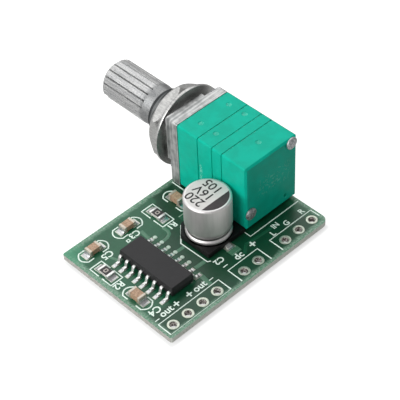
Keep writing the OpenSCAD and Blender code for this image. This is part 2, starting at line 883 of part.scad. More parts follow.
// Spring plate on the rear face of a rotor, with one contact on the ring and one on the arc
module wiper(rotor_y) {
    ring_r = (collector_in_r + collector_out_r) / 2;
    arc_r = (arc_in_r + arc_out_r) / 2;
    plate_y = rotor_y - wiper_t;
    along_shaft(plate_y, wiper_t) {
        ring_section(collector_out_r, collector_in_r);
        rotate(lug_angle) translate([ring_r, -wiper_arm_w / 2])
            square([arc_out_r - ring_r, wiper_arm_w]);
    }
    along_shaft(plate_y - wiper_rise, wiper_rise) rotate(lug_angle)
        for (r = [ring_r, arc_r]) translate([r, 0]) circle(d = contact_d);
}

module front_wiper() {
    color("gold") wiper(front_rotor_y);
}

module rear_wiper() {
    color("gold") wiper(rear_rotor_y);
}

// Collector ring and resistive arc, printed on the wafer's front face at y
module track(y) {
    along_shaft(y, track_t) {
        ring_section(collector_out_r, collector_in_r);
        difference() {
            ring_section(arc_out_r, arc_in_r);
            sector(rotor_d, stop_angle - track_half_gap, stop_angle + track_half_gap);
        }
    }
}

module front_track() {
    color("black") track(front_y);
}

module rear_track() {
    color("black") track(gang_y);
}

module front_terminals() {
    color("lightgray") pins(front_pins, -collector_in_r);
}

module rear_terminals() {
    color("lightgray") pins(rear_pins, -collector_in_r);
}

// The first pin carries the leaf, and the other ends in the fixed contact above its free end
module switch_terminals() {
    contact_z = leaf_top_z + contact_gap;
    inner_x = switch_pin_x - pin_w / 2;
    color("lightgray") {
        pins([switch_pins[0]], leaf_top_z - leaf_t);
        pins([switch_pins[1]], contact_z + contact_t);
        along_shaft(switch_pin_y, pin_t) translate([inner_x - contact_reach, contact_z])
            square([contact_reach + pin_w / 2, contact_t]);
    }
}

module switch_leaf() {
    fixed_x = -switch_pin_x - pin_w / 2;
    free_x = switch_pin_x - pin_w / 2 - leaf_end_gap;
    color("gold") along_shaft(cam_y + (cam_t - leaf_w) / 2, leaf_w)
        translate([fixed_x, leaf_top_z - leaf_t]) square([free_x - fixed_x, leaf_t]);
}

module switch_cam() {
    color("ivory") along_shaft(cam_y, cam_t) difference() {
        union() {
            circle(cam_r);
            intersection() {
                circle(cam_lobe_r);
                sector(2 * cam_lobe_r, stop_angle - cam_lobe_half, stop_angle + cam_lobe_half);
            }
        }
        drive_section(drive_clear);
    }
}

// Nut and washer on the bushing, and the solder below the board

module panel_washer() {
    color("gainsboro") along_shaft(washer_y, washer_t)
        ring_section(washer_d / 2, bushing_d / 2 + nut_clear);
}

module panel_nut() {
    corner_r = nut_af / 2 / cos(30);
    inner_r = bushing_d / 2 + nut_clear;
    outer_r = corner_r + past;
    drop = (outer_r - nut_af / 2) * tan(30);
    color("gainsboro") intersection() {
        along_shaft(nut_y, nut_t) difference() {
            rotate(30) circle(corner_r, $fn = 6);
            circle(inner_r);
        }
        turned_on_shaft(nut_y) polygon([
            [0, 0], [nut_af / 2, 0], [outer_r, drop], [outer_r, nut_t - drop], [nut_af / 2, nut_t], [0, nut_t]
        ]);
    }
}

module pot_solder() {
    color("silver") difference() {
        on_board() for (pin = pot_pins)
            translate([pot_x + pin[0], pin[1] + pin_t / 2, -board_t - solder_h])
                cylinder(d1 = solder_tip_d, d2 = solder_d, h = solder_h);
        pins(pot_pins, 0);
    }
}

circuit_board();
wire_eyelets();
solder_lands();
chip_body();
chip_leads();
can_base();
can_shell();
can_terminals();
resistor_r1_body();
resistor_r1_coat();
resistor_r1_ends();
resistor_r2_body();
resistor_r2_coat();
resistor_r2_ends();
capacitor_c1_body();
capacitor_c1_ends();
capacitor_c3_body();
capacitor_c3_ends();
capacitor_c4_body();
capacitor_c4_ends();
capacitor_c5_body();
capacitor_c5_ends();
front_plate();
front_housing();
middle_housing();
rear_wafer();
switch_housing();
rivets();
volume_shaft();
retaining_ring();
front_rotor();
rear_rotor();
front_wiper();
rear_wiper();
front_track();
rear_track();
front_terminals();
rear_terminals();
switch_terminals();
switch_cam();
switch_leaf();
panel_nut();
panel_washer();
pot_solder();
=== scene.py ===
import json
import math

import bpy
from mathutils import Matrix, Vector

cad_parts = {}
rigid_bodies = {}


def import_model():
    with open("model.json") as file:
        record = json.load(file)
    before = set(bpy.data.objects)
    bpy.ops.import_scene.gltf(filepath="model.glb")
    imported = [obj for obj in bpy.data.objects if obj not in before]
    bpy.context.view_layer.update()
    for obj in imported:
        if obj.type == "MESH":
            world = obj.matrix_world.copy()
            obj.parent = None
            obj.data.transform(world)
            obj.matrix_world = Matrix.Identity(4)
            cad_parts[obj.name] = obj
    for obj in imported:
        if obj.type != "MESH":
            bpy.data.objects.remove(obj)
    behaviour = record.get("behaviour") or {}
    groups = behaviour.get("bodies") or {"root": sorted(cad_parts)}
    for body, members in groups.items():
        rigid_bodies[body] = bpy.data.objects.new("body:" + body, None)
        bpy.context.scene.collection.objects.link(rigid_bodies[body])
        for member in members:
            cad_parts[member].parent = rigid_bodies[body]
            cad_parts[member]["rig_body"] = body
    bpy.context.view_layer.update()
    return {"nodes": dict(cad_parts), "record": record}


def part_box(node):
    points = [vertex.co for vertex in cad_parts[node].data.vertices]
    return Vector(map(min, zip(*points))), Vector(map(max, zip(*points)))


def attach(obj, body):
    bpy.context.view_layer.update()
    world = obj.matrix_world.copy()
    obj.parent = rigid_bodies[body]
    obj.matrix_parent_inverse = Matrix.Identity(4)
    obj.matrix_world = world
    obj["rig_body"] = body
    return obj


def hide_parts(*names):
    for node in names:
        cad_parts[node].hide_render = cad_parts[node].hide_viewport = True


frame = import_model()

MM = 0.001

# Where the camera stands, worked out from the board's corners and holes in the photograph
CAMERA_TARGET = Vector((2.458, -5.205, 4.191)) * MM
CAMERA_DISTANCE = 185.5 * MM
CAMERA_AZIMUTH = math.radians(-42.26)
CAMERA_ELEVATION = math.radians(44.44)
CAMERA_ROLL = math.radians(-2.83)
CAMERA_LENS = 127.56
CAMERA_SENSOR = 36
CAMERA_NEAR = 10 * MM

# Places taken from the CAD nodes
board_low, board_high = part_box("circuit_board")
can_low, can_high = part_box("can_shell")
can_axis = (can_low + can_high) / 2
middle_low, middle_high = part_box("middle_housing")
nut_low, nut_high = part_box("panel_nut")
shaft_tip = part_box("volume_shaft")[1]
bushing_end_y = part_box("front_plate")[1].y
pot_rear_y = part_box("switch_housing")[0].y
rivet_rear_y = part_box("rivets")[0].y

# The board's width, length and thickness in millimetres
board_w, board_l, board_t = (board_high - board_low) / MM

# The material slot and the body of each CAD node
slot_of = {part["node"]: part["material_slot"] for part in frame["record"]["subparts"]}
body_of = {node: piece["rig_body"] for node, piece in frame["nodes"].items()}

# Limits for meshes: what counts as one point, as one flat face and as a sharp edge
MERGE_DISTANCE = 0.001 * MM
FLAT_ANGLE = math.radians(1)
SHARP_ANGLE = math.radians(30)

# Sides of the larger round shapes
ROUND_SIDES = 96

# White ink on the board, and how much of a letter's size its capitals take
INK_T = 0.03 * MM
INK_LINE_W = 0.19 * MM
THIN_LINE_W = 0.07 * MM
INK_BOLD_MM = 0.028
CAP_HEIGHT_SHARE = 0.73

# Print on the can's top: how far out it reaches, and where the dark field starts
CAN_PRINT_R = 2.83
CAN_CHORD_Y = -1.42

# Height of the crimp groove in the can, over the board, where the wall gets a band of painted shade
CAN_GROOVE_H = 1.58

# Length of the knurl, from the shaft's tip to its collar
KNURL_L = 7.85


def on_board(x, y, z=0.0):
    """The point x and y millimetres from the board's corner by the first hole, z above its top face."""
    return Vector((board_low.x + x * MM, board_low.y + y * MM, board_high.z + z * MM))


# Shader nodes written as Python expressions

ALIKE_ALL_WAYS = (1, 1, 1)


def srgb(red, green, blue):
    """A colour as a screen shows it, from 0 to 255, as the linear colour that a shader takes."""
    def linear(value):
        share = value / 255
        return share / 12.92 if share <= 0.04045 else ((share + 0.055) / 1.055) ** 2.4
    return (linear(red), linear(green), linear(blue), 1.0)


class Term:
    """An output socket. Arithmetic on it adds Math nodes to its graph."""

    def __init__(self, graph, socket):
        self.graph = graph
        self.socket = socket

    def math(self, operation, *operands):
        inputs = dict(enumerate(operands))
        return self.graph.node("ShaderNodeMath", {"operation": operation}, inputs)["Value"]

    def __add__(self, other):
        return self.math("ADD", self, other)

    def __radd__(self, other):
        return self.math("ADD", other, self)

    def __sub__(self, other):
        return self.math("SUBTRACT", self, other)

    def __rsub__(self, other):
        return self.math("SUBTRACT", other, self)

    def __mul__(self, other):
        return self.math("MULTIPLY", self, other)

    def __rmul__(self, other):
        return self.math("MULTIPLY", other, self)

    def __abs__(self):
        return self.math("ABSOLUTE", self)

    def larger(self, other):
        return self.math("MAXIMUM", self, other)

    def smaller(self, other):
        return self.math("MINIMUM", self, other)

    def root(self):
        return self.math("SQRT", self)

    def rise(self, start, end):
        """0 before start, 1 past end and a smooth step between them. Start may be the larger of the two."""
        return self.graph.node("ShaderNodeMapRange", {"interpolation_type": "SMOOTHSTEP"},
                                {"Value": self, "From Min": start, "From Max": end})["Result"]


class Graph:
    """The nodes of one material or world."""

    def __init__(self, tree):
        self.tree = tree

    def node(self, kind, settings=None, inputs=None):
        """Adds a node, sets it, feeds it, and returns its outputs by name and by identifier."""
        node = self.tree.nodes.new(kind)
        for name, value in (settings or {}).items():
            setattr(node, name, value)
        for key, value in (inputs or {}).items():
            self.join(value, self.socket(node, key))
        outputs = {output.identifier: Term(self, output) for output in reversed(node.outputs)}
        outputs.update({output.name: Term(self, output) for output in reversed(node.outputs)
                        if output.name not in outputs})
        return outputs

    def socket(self, node, key):
        if isinstance(key, int):
            return node.inputs[key]
        found = [socket for socket in node.inputs if key in (socket.identifier, socket.name)]
        return found[0]

    def join(self, value, socket):
        if isinstance(value, Term):
            self.tree.links.new(value.socket, socket)
        else:
            socket.default_value = value


class Finish(Graph):
    """One material: a Principled shader and the nodes that feed it."""

    def __init__(self, name, colour, roughness, metallic=0.0, **extra):
        self.name = name
        self.material = bpy.data.materials.new(name)
        self.material.use_nodes = True
        super().__init__(self.material.node_tree)
        self.shader = self.tree.nodes["Principled BSDF"]
        self.feed({"Base Color": colour, "Roughness": roughness, "Metallic": metallic})
        self.feed({socket.replace("_", " "): value for socket, value in extra.items()})
        self.points = None

    def feed(self, inputs):
        for key, value in inputs.items():
            self.join(value, self.socket(self.shader, key))

    def place(self):
        """The point on the surface in millimetres, in the frame of the whole part."""
        if self.points is None:
            metres = self.node("ShaderNodeTexCoord")["Object"]
            scaled = self.node("ShaderNodeVectorMath", {"operation": "SCALE"},
                               {"Vector": metres, "Scale": 1 / MM})
            self.points = scaled["Vector"]
        return self.points

    def axes(self, middle):
        """The three numbers of the point on the surface, in millimetres from a middle given in metres."""
        moved = self.node("ShaderNodeVectorMath", {"operation": "SUBTRACT"},
                          {0: self.place(), 1: tuple(value / MM for value in middle)})["Vector"]
        split = self.node("ShaderNodeSeparateXYZ", None, {"Vector": moved})
        return split["X"], split["Y"], split["Z"]

    def upward(self):
        """How far the surface faces up, from -1 to 1."""
        normal = self.node("ShaderNodeTexCoord")["Normal"]
        return self.node("ShaderNodeSeparateXYZ", None, {"Vector": normal})["Z"]

    def noise(self, per_mm, detail, stretch=ALIKE_ALL_WAYS):
        """Cloudy values round 0.5, with about per_mm clouds in a millimetre."""
        vector = self.node("ShaderNodeMapping", {"vector_type": "POINT"},
                           {"Vector": self.place(), "Scale": stretch})["Vector"]
        return self.node("ShaderNodeTexNoise", None,
                         {"Vector": vector, "Scale": per_mm, "Detail": detail})["Fac"]

    def tint(self, mask, below, above):
        """One colour where the mask is 0 and another where it is 1."""
        return self.node("ShaderNodeMix", {"data_type": "RGBA"},
                         {"Factor_Float": mask, "A_Color": below, "B_Color": above})["Result_Color"]

    def relief(self, height, depth_mm, strength):
        """Bumps on the surface, of that depth where the height is 1."""
        bump = self.node("ShaderNodeBump", None,
                         {"Height": height, "Distance": depth_mm * MM, "Strength": strength})
        self.feed({"Normal": bump["Normal"]})


# Finishes


def copper_pour(finish, x, y):
    """Where copper lies under the solder mask, as soft-edged fields. A pair says where an edge fades in."""
    wobble = (finish.noise(0.35, 2) - 0.5) * 0.8
    left_edge, left_rear = (10.3, 9.7), (4.1, 4.8)
    notch, notch_w = (12.6, 14.0), 3.4
    left_field = (x + wobble - y.rise(*notch) * notch_w).rise(*left_edge) * (y + wobble).rise(*left_rear)
    slant, slant_edge, slant_end = 0.6, (9.6, 10.1), (15.4, 14.9)
    slanted_field = (y - x * slant + wobble).rise(*slant_edge) * x.rise(*slant_end)
    input_edge = (26.2, 27.0)
    input_field = (x + wobble).rise(*input_edge)
    return left_field.larger(input_field).larger(slanted_field)


def bare_laminate(finish, x, y):
    """The strip along the edges and the left corner, where no copper backs the mask."""
    wobble = (finish.noise(0.9, 3) - 0.5) * 0.9
    front = board_l - y
    edge = x.smaller(y).smaller(board_w - x).smaller(front)
    strip_fade, corner_fade = (0.95, 0.25), (4.2, 0.8)
    strip = (edge + wobble).rise(*strip_fade)
    corner = ((x * x + front * front).root() + wobble * 2).rise(*corner_fade)
    return strip, corner


def cut_edge(finish, y):
    """The board's cut sides: pale plies with dark flecks, and the -Y side by the wire holes painted nearly
    white, as painted light on the side the lamps leave dim.
    """
    plies = finish.noise(1.6, 3, (1, 1, 9))
    flecks = finish.noise(4.0, 4).rise(0.6, 0.72)
    dull = finish.tint(plies.rise(0.3, 0.7), srgb(150, 150, 144), srgb(206, 203, 197))
    bright = finish.tint(plies, srgb(212, 218, 206), srgb(248, 250, 242))
    # Painted light: the -Y cut side is painted paler than the others.
    painted_light_side = y.rise(0.2, 0.05)
    laminate = finish.tint(painted_light_side, dull, bright)
    return finish.tint(flecks * 0.6, laminate, srgb(92, 112, 98))


def solder_mask_finish():
    """Green solder mask, darker where no copper lies under it, with wear along the edges."""
    finish = Finish("solder_mask", srgb(24, 92, 58), 0.32, Specular_IOR_Level=0.42)
    x, y, _ = finish.axes(board_low)
    mottle = finish.noise(1.3, 4)
    bare = finish.tint(mottle, srgb(6, 56, 34), srgb(12, 72, 46))
    covered = finish.tint(mottle, srgb(16, 80, 52), srgb(32, 98, 68))
    scratches = finish.noise(4.0, 4).rise(0.35, 0.68)
    worn_edge = finish.tint(scratches, srgb(88, 144, 114), srgb(158, 184, 166))
    open_corner = finish.tint(mottle, srgb(48, 132, 96), srgb(74, 158, 122))
    strip, corner = bare_laminate(finish, x, y)
    face = finish.tint(copper_pour(finish, x, y), bare, covered)
    face = finish.tint(strip * 0.75, face, worn_edge)
    face = finish.tint(corner * 0.75, face, open_corner)
    side = abs(finish.upward()).rise(0.7, 0.4)
    finish.feed({
        "Base Color": finish.tint(side, face, cut_edge(finish, y)),
        "Roughness": 0.26 + 0.14 * finish.noise(2.5, 3) + side * 0.4,
    })
    finish.relief(finish.noise(3.0, 3), 0.012, 0.3)
    return finish


def trace_finish(name, dull, bright, roughness):
    """Solder mask over a copper line or a plugged hole: paler than the mask beside it."""
    finish = Finish(name, bright, roughness)
    finish.feed({"Base Color": finish.tint(finish.noise(2.0, 3), dull, bright)})
    finish.relief(finish.noise(4.0, 3), 0.01, 0.3)
    return finish


def ink_finish(name, light, dark):
    """Printed ink with a few thin spots."""
    finish = Finish(name, light, 0.6)
    speckle = finish.noise(9.0, 4).rise(0.58, 0.72)
    finish.feed({"Base Color": finish.tint(speckle, light, dark)})
    finish.relief(finish.noise(12.0, 2), 0.01, 0.3)
    return finish


def tin_finish(name, colour, dull, roughness, metallic=0.92):
    """Tinned or soldered metal: bright, a little lumpy, with duller clouds."""
    finish = Finish(name, colour, roughness, metallic=metallic)
    clouds = finish.noise(3.0, 4)
    finish.feed({
        "Base Color": finish.tint(clouds, dull, colour),
        "Roughness": clouds * 0.25 + (roughness - 0.08),
    })
    finish.relief(finish.noise(5.0, 2), 0.012, 0.5)
    return finish


def eyelet_finish():
    """Pale tinned rings. Their bores are painted dark brown, as soldering residue and as painted shade in
    the hole, with white painted glints of metal.
    """
    finish = Finish("tinned_copper", srgb(214, 222, 208), 0.36, metallic=0.85)
    z = finish.axes(board_high)[2]
    bore = z.rise(0.03, -0.06) * (z + board_t).rise(-0.06, 0.03)
    clouds = finish.noise(3.0, 4)
    ring = finish.tint(clouds, srgb(166, 173, 160), srgb(214, 221, 207))
    # The bore's colour: dark residue deepened as painted shade, with pale spots that are painted glints.
    bore_residue_shade_and_glints = finish.tint(finish.noise(5.5, 3).rise(0.44, 0.58), srgb(72, 62, 58), srgb(246, 240, 234))
    finish.feed({
        "Base Color": finish.tint(bore, ring, bore_residue_shade_and_glints),
        "Metallic": 0.85 - bore * 0.55,
        "Roughness": clouds * 0.2 + 0.26,
    })
    finish.relief(finish.noise(5.0, 2), 0.008, 0.4)
    return finish


def moulded_finish(name, colour, shade, roughness, gloss=0.5, grain_per_mm=22.0, grain_mm=0.012):
    """Moulded plastic or epoxy: an even colour with faint flow clouds and a fine grain."""
    finish = Finish(name, colour, roughness, Specular_IOR_Level=gloss)
    flow = finish.noise(0.6, 3)
    finish.feed({
        "Base Color": finish.tint(flow.rise(0.3, 0.7), shade, colour),
        "Roughness": flow * 0.14 + (roughness - 0.07),
    })
    finish.relief(finish.noise(grain_per_mm, 2), grain_mm, 0.4)
    return finish


def green_finish():
    """Green moulding plastic: painted glints in the marks in its top, a pale speckled patch on its left
    side, flecks on its rear.
    """
    finish = Finish("green_moulding", srgb(8, 186, 160), 0.42, Specular_IOR_Level=0.1)
    flow = finish.noise(0.6, 3)
    speckle = finish.noise(6.0, 3)
    x, y, z = finish.axes(middle_high)
    left_x = (middle_low.x - middle_high.x) / MM
    rear_y = (pot_rear_y - middle_high.y) / MM
    left_side = x.rise(left_x + 0.1, left_x + 0.05)
    rear_side = y.rise(rear_y + 0.1, rear_y + 0.05)
    # The pale tint in the floors of the marks in the top is a painted glint.
    mark_floor = finish.upward().rise(0.9, 0.97) * z.rise(-0.02, -0.04) * z.rise(-0.12, -0.1)
    marks = mark_floor * speckle.rise(0.4, 0.6)
    # A pale speckled patch on the left side.
    pale_patch_y, pale_patch_z = -0.6, -6.2
    pale_patch_area = abs(y - pale_patch_y).rise(0.3, 0.1) * abs(z - pale_patch_z).rise(2.4, 1.4) * left_side
    pale_patch = pale_patch_area * speckle.rise(0.45, 0.6)
    fleck_x, fleck_z = left_x * 0.45, -4.9
    flecked = abs(x - fleck_x).rise(3.2, 2.4) * abs(z - fleck_z).rise(1.9, 1.2) * rear_side
    flecks = flecked * finish.noise(3.0, 2).rise(0.56, 0.64)
    # One pale colour for the painted glints in the marks, the pale patch and the mould flecks.
    glints_patch_and_flecks = marks * 0.3 + pale_patch * 0.7 + flecks * 0.25
    plain = finish.tint(flow.rise(0.3, 0.7), srgb(6, 176, 150), srgb(8, 187, 161))
    finish.feed({
        "Base Color": finish.tint(glints_patch_and_flecks, plain, srgb(150, 226, 206)),
        "Roughness": flow * 0.14 + 0.35,
    })
    finish.relief(finish.noise(22.0, 2) + flecks * 2, 0.012, 0.4)
    return finish


def ceramic_finish(name, colour, shade):
    """Fired ceramic: two close shades and a fine grain."""
    finish = Finish(name, colour, 0.5)
    finish.feed({"Base Color": finish.tint(finish.noise(5.0, 4).rise(0.35, 0.65), shade, colour)})
    finish.relief(finish.noise(14.0, 3), 0.015, 0.5)
    return finish


def cast_finish():
    """Die-cast zinc alloy: flow clouds, small pits, lines from the die, and the thread past the nut painted
    dark, as oxide and as painted shade in its grooves.
    """
    finish = Finish("die_cast", srgb(168, 167, 165), 0.44, metallic=0.9)
    clouds = finish.noise(1.1, 4)
    lines = finish.noise(3.2, 2, (0.05, 1, 0.05))
    pits = finish.noise(8.0, 2).rise(0.68, 0.76)
    bands = (clouds * 0.4 + lines * 0.6).rise(0.36, 0.64)
    skin = finish.tint(bands, srgb(138, 140, 140), srgb(202, 203, 202))
    pitted = finish.tint(pits * 0.6, skin, srgb(96, 96, 95))
    y = finish.axes(nut_high)[1]
    thread_l = (bushing_end_y - nut_high.y) / MM
    # The thread between the nut and the bushing's end is painted dark: oxide, and painted shade in its
    # grooves.
    thread = y.rise(-0.1, 0.0) * y.rise(thread_l - 0.1, thread_l - 0.2)
    thread_oxide_and_painted_shade = finish.tint(lines.rise(0.4, 0.6), srgb(58, 60, 61), srgb(116, 118, 118))
    finish.feed({
        "Base Color": finish.tint(thread, pitted, thread_oxide_and_painted_shade),
        "Roughness": clouds * 0.16 + 0.38,
    })
    finish.relief(lines - pits * 0.4, 0.006, 0.4)
    return finish


def drawn_metal_finish(name, colour, shade, roughness, stretch, per_mm=6.0, metallic=1.0):
    """Drawn or turned metal with fine streaks along the directions in which stretch is small."""
    finish = Finish(name, colour, roughness, metallic=metallic)
    streaks = finish.noise(per_mm, 3, stretch) * 0.7 + finish.noise(14.0, 2) * 0.3
    finish.feed({
        "Base Color": finish.tint(streaks.rise(0.36, 0.64), shade, colour),
        "Roughness": streaks * 0.16 + (roughness - 0.08),
    })
    finish.relief(streaks, 0.002, 0.25)
    return finish


def shaft_finish():
    """Turned shaft metal: streaks along it, dull specks, and the collar at the bushing painted darker as
    painted shade.
    """
    finish = Finish("shaft_metal", srgb(192, 192, 191), 0.46, metallic=1.0)
    y = finish.axes(shaft_tip)[1]
    streaks = finish.noise(6.0, 3, (1, 0.06, 1)) * 0.6 + finish.noise(14.0, 2) * 0.4
    specks = finish.noise(6.0, 3).rise(0.5, 0.66)
    # Painted shade: the plain collar past the knurl, by the bushing, is painted darker.
    collar = y.rise(0.3 - KNURL_L, -0.3 - KNURL_L)
    bright = finish.tint(streaks.rise(0.36, 0.64), srgb(170, 171, 172), srgb(208, 208, 207))
    specked = finish.tint(specks * 0.55, bright, srgb(120, 122, 124))
    finish.feed({
        "Base Color": finish.tint(collar * 0.55, specked, srgb(104, 106, 107)),
        "Roughness": streaks * 0.16 + specks * 0.1 + 0.36,
    })
    finish.relief(streaks + specks * 0.5, 0.006, 0.3)
    return finish


def can_finish():
    """Drawn aluminium can, with a pale lacquered top, a dark field on its negative side, and a band of
    painted shade at the crimp groove.
    """
    finish = Finish("can_aluminium", srgb(150, 150, 147), 0.36, metallic=1.0)
    x, y, z = finish.axes(can_axis)
    radius = (x * x + y * y).root()
    blur = 0.03
    top_face = finish.upward().rise(0.9, 0.97) * radius.rise(CAN_PRINT_R + blur, CAN_PRINT_R - blur)
    dark_field = top_face * y.rise(CAN_CHORD_Y + blur, CAN_CHORD_Y - blur)
    draw_lines = finish.noise(4.0, 3, (1, 1, 0.08))
    wall = finish.tint(draw_lines, srgb(220, 216, 216), srgb(240, 236, 236))
    groove_z = (board_high.z - can_axis.z) / MM + CAN_GROOVE_H
    # Painted shade: the wall is darkened in a band along the crimp groove.
    groove = abs(z - groove_z).rise(0.24, 0.1)
    wall = finish.tint(groove * 0.8, wall, srgb(70, 69, 68))
    lacquer = finish.tint(finish.noise(1.5, 3), srgb(210, 205, 203), srgb(224, 220, 218))
    field = finish.tint(finish.noise(2.0, 3), srgb(52, 45, 47), srgb(74, 66, 68))
    printed = finish.tint(top_face, wall, lacquer)
    finish.feed({
        "Base Color": finish.tint(dark_field, printed, field),
        "Metallic": 1.0 - top_face * 0.85,
        "Roughness": 0.44 + draw_lines * 0.1 + top_face * 0.1,
    })
    finish.relief(draw_lines, 0.004, 0.3)
    return finish


finishes = {finish.name: finish for finish in (
    solder_mask_finish(),
    eyelet_finish(),
    green_finish(),
    cast_finish(),
    shaft_finish(),
    can_finish(),
    moulded_finish("chip_epoxy", srgb(38, 37, 39), srgb(32, 31, 33), 0.5,
                   gloss=0.36, grain_per_mm=26.0, grain_mm=0.02),
    moulded_finish("base_plastic", srgb(18, 17, 18), srgb(12, 12, 13), 0.5, gloss=0.3),
    moulded_finish("dark_glass", srgb(34, 31, 31), srgb(24, 22, 22), 0.34,
                   grain_per_mm=12.0, grain_mm=0.008),
    moulded_finish("rotor_plastic", srgb(226, 221, 206), srgb(212, 206, 190), 0.5),
    moulded_finish("carbon_track", srgb(30, 30, 31), srgb(22, 22, 23), 0.65),
    ceramic_finish("white_ceramic", srgb(226, 224, 218), srgb(206, 204, 198)),
    ceramic_finish("brown_ceramic", srgb(190, 158, 130), srgb(158, 126, 102)),
    tin_finish("lead_tin", srgb(240, 240, 238), srgb(204, 204, 202), 0.3, metallic=0.75),
    tin_finish("solder", srgb(206, 207, 208), srgb(168, 169, 170), 0.24),
    drawn_metal_finish("rivet_metal", srgb(206, 204, 206), srgb(112, 119, 121), 0.36,
                       ALIKE_ALL_WAYS, per_mm=3.0, metallic=0.6),
    drawn_metal_finish("spring_steel", srgb(130, 130, 132), srgb(104, 104, 106), 0.35, ALIKE_ALL_WAYS),
    drawn_metal_finish("contact_bronze", srgb(206, 164, 92), srgb(170, 130, 66), 0.3, (0.2, 1, 1)),
    drawn_metal_finish("plated_steel", srgb(196, 196, 194), srgb(166, 166, 165), 0.4,
                       (1, 0.3, 1), per_mm=5.0),
)}
cap_material = tin_finish("cap_tin", srgb(222, 213, 200), srgb(184, 174, 160), 0.42, metallic=0.7).material
trace_material = trace_finish("covered_trace", srgb(54, 104, 78), srgb(86, 136, 108), 0.3).material
deep_trace_material = trace_finish("deep_trace", srgb(14, 76, 50), srgb(28, 94, 64), 0.3).material
via_material = trace_finish("plugged_via", srgb(170, 196, 178), srgb(206, 226, 212), 0.25).material
silk_material = ink_finish("silk_ink", srgb(234, 250, 240), srgb(206, 232, 216)).material
print_material = ink_finish("black_print", srgb(40, 35, 36), srgb(60, 53, 54)).material
mark_material = ink_finish("resistor_mark", srgb(196, 186, 180), srgb(150, 140, 136)).material


# Modelling steps that several pieces share


def pick(*pieces):
    """Selects only these pieces and makes the first one active."""
    bpy.ops.object.select_all(action="DESELECT")
    for piece in pieces:
        piece.select_set(True)
    bpy.context.view_layer.objects.active = pieces[0]


def modify(piece, kind, **settings):
    """Adds a modifier to the piece, sets it and applies it."""
    pick(piece)
    modifier = piece.modifiers.new(kind.title(), kind)
    for name, value in settings.items():
        setattr(modifier, name, value)
    bpy.ops.object.modifier_apply(modifier=modifier.name)


def dress(piece, body, material):
    """Gives a finished mesh its material and shading, and lets it ride on its body."""
    pick(piece)
    bpy.ops.object.shade_smooth_by_angle(angle=SHARP_ANGLE)
    modify(piece, "WEIGHTED_NORMAL", keep_sharp=True)
    piece.data.materials.clear()
    piece.data.materials.append(material)
    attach(piece, body)


def joined(pieces, name):
    """Several meshes as one piece."""
    pick(*pieces)
    if len(pieces) > 1:
        bpy.ops.object.join()
    pieces[0].name = name
    pieces[0].data.name = name
    return pieces[0]


def placed_copy(model, matrix):
    """A copy of a mesh with its own data, moved by a matrix that goes into the mesh."""
    piece = bpy.data.objects.new(model.name, model.data.copy())
    bpy.context.collection.objects.link(piece)
    piece.data.transform(matrix)
    return piece


# Changes of form on a few copies of CAD nodes

NUT_CHAMFER_W = 0.92 * MM
BASE_HEIGHT_SHARE = 0.76
HEAD_DOME_MM = ((0.22, 0.07), (0.22, 0.04))


def chamfered(nut):
    """Cuts the nut's six corners and the ends of its flats back with a cone on both faces."""
    slack = 0.02 * MM
    radius = (nut_high.z - nut_low.z) / 2 + slack
    bpy.ops.object.select_all(action="DESELECT")
    bpy.ops.mesh.primitive_cylinder_add(
        vertices=ROUND_SIDES, radius=radius, depth=nut_high.y - nut_low.y + slack,
        location=(nut_low + nut_high) / 2, rotation=(math.pi / 2, 0, 0))
    blank = bpy.context.object
    modify(blank, "BEVEL", width=NUT_CHAMFER_W, segments=1, limit_method="ANGLE", angle_limit=SHARP_ANGLE)
    modify(nut, "BOOLEAN", operation="INTERSECT", solver="EXACT", object=blank)
    bpy.data.objects.remove(blank)


def domed(rivets):
    """Swells the rear faces of the rivets' heads into low domes, by an inset and a rise at each step."""
    for face in rivets.data.polygons:
        face.select = abs(face.center.y - rivet_rear_y) < MERGE_DISTANCE
    bpy.ops.object.mode_set(mode="EDIT")
    for inset, rise in HEAD_DOME_MM:
        bpy.ops.mesh.inset(thickness=inset * MM)
        bpy.ops.transform.translate(value=(0, -rise * MM, 0))
    bpy.ops.object.mode_set(mode="OBJECT")


def lowered(base):
    """Presses the can's base a little flatter against the board."""
    foot = Matrix.Translation((0, 0, board_high.z))
    base.data.transform(foot @ Matrix.Diagonal((1, 1, BASE_HEIGHT_SHARE, 1)) @ foot.inverted())


RESHAPED = {"panel_nut": chamfered, "rivets": domed, "can_base": lowered}


def softened(node, width_mm, material):
    """A copy of a CAD node with its sharp edges rounded, which is shown in the node's place."""
    piece = bpy.data.objects.new(node + "_edges", frame["nodes"][node].data.copy())
    bpy.context.collection.objects.link(piece)
    pick(piece)
    bpy.ops.mesh.customdata_custom_splitnormals_clear()
    bpy.ops.object.mode_set(mode="EDIT")
    bpy.ops.mesh.select_all(action="SELECT")
    bpy.ops.mesh.remove_doubles(threshold=MERGE_DISTANCE)
    bpy.ops.mesh.dissolve_limited(angle_limit=FLAT_ANGLE)
    bpy.ops.mesh.select_mode(type="FACE")
    bpy.ops.mesh.select_all(action="DESELECT")
    bpy.ops.object.mode_set(mode="OBJECT")
    if node in RESHAPED:
        RESHAPED[node](piece)
    modify(piece, "BEVEL", width=width_mm * MM, segments=2, limit_method="ANGLE",
           angle_limit=SHARP_ANGLE, use_clamp_overlap=True)
    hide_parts(node)
    dress(piece, body_of[node], material)


# CAD nodes: most that show get rounded edges, and all get their finish

